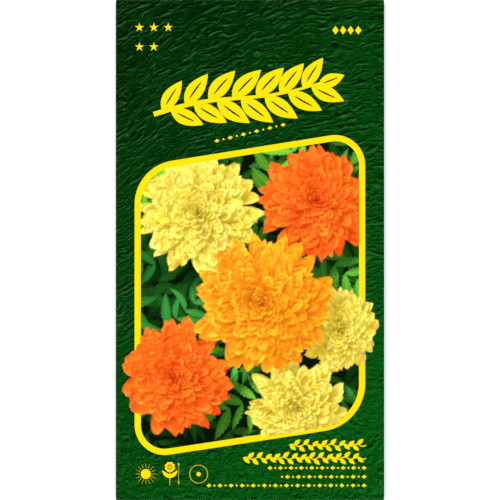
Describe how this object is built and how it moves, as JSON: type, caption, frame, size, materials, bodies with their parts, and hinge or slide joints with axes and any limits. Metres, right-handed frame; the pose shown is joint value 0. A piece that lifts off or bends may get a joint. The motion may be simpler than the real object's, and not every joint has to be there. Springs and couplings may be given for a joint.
{
  "type": "seed packet",
  "caption": "Flat glued paper seed packet with a printed flower picture on its front, lying on its back, swollen a little by the loose seeds inside.",
  "frame": {"origin": "on the surface that the packet lies on, under the middle of the packet", "axes": "+X across the printed front to its right, +Y up the front to its top edge, +Z out of the front"},
  "size_m": [0.08, 0.1492, 0.0044],
  "materials": {
    "printed_paper": "satin",
    "glue": "satin",
    "seed": "matte"
  },
  "bodies": {
    "root": {"packet_paper": "printed_paper", "glue_back_seam": "glue", "glue_bottom_flap": "glue", "glue_top_flap": "glue", "seed_01": "seed", "seed_02": "seed", "seed_03": "seed", "seed_04": "seed", "seed_05": "seed", "seed_06": "seed", "seed_07": "seed", "seed_08": "seed", "seed_09": "seed", "seed_10": "seed", "seed_11": "seed", "seed_12": "seed", "seed_13": "seed", "seed_14": "seed", "seed_15": "seed", "seed_16": "seed", "seed_17": "seed", "seed_18": "seed", "seed_19": "seed", "seed_20": "seed", "seed_21": "seed", "seed_22": "seed", "seed_23": "seed", "seed_24": "seed", "seed_25": "seed", "seed_26": "seed", "seed_27": "seed", "seed_28": "seed", "seed_29": "seed", "seed_30": "seed", "seed_31": "seed", "seed_32": "seed", "seed_33": "seed", "seed_34": "seed", "seed_35": "seed", "seed_36": "seed", "seed_37": "seed", "seed_38": "seed", "seed_39": "seed", "seed_40": "seed"}
  },
  "joints": []
}
